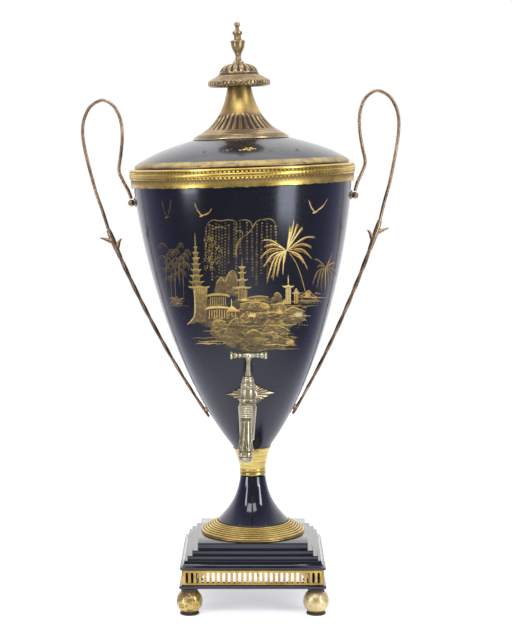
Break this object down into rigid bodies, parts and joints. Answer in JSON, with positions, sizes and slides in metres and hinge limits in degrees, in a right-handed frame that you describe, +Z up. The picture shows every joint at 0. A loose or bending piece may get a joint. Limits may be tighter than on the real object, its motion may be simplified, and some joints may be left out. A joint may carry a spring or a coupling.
{
  "type": "hot water urn",
  "caption": "Tall vase-shaped hot water urn with a domed lid, two looped handles, a tap with a turning key and a stepped square plinth on ball feet.",
  "frame": {"origin": "on the floor under the middle of the object's outline", "axes": "+Z up, the tap faces -Y, +X is the right-hand side as seen from the front"},
  "size_m": [0.3061, 0.2213, 0.5606],
  "materials": {
    "japan": "glossy black japanning, slightly blue, aged",
    "gilding": "old gilding, satin, worn",
    "old_brass": "aged brass, dark in the hollows",
    "tap_brass": "pale aged brass with a little verdigris",
    "handle_bronze": "dark bronze with pale worn edges"
  },
  "bodies": {
    "urn": {"foot_front_left": "gilding", "foot_front_right": "gilding", "foot_rear_left": "gilding", "foot_rear_right": "gilding", "base_rail": "japan", "gallery": "gilding", "plinth": "japan", "foot_flange": "gilding", "socle": "japan", "neck_collar": "gilding", "body": "japan", "rim_band": "gilding", "lid": "japan", "lid_cone": "old_brass", "finial_dish": "old_brass", "finial_knop": "old_brass", "handle_left": "handle_bronze", "handle_right": "handle_bronze", "handle_lug_left": "old_brass", "handle_lug_right": "old_brass", "tap_plate": "tap_brass", "tap_body": "tap_brass"},
    "key": {"tap_key": "tap_brass"}
  },
  "joints": [
    {"name": "tap_turn", "type": "hinge", "parent": "urn", "child": "key", "pos_m": [0.00712, -0.08901, 0.21039], "axis": [0.0194, -0.0038, 0.9998], "range_deg": [0, 90]}
  ]
}
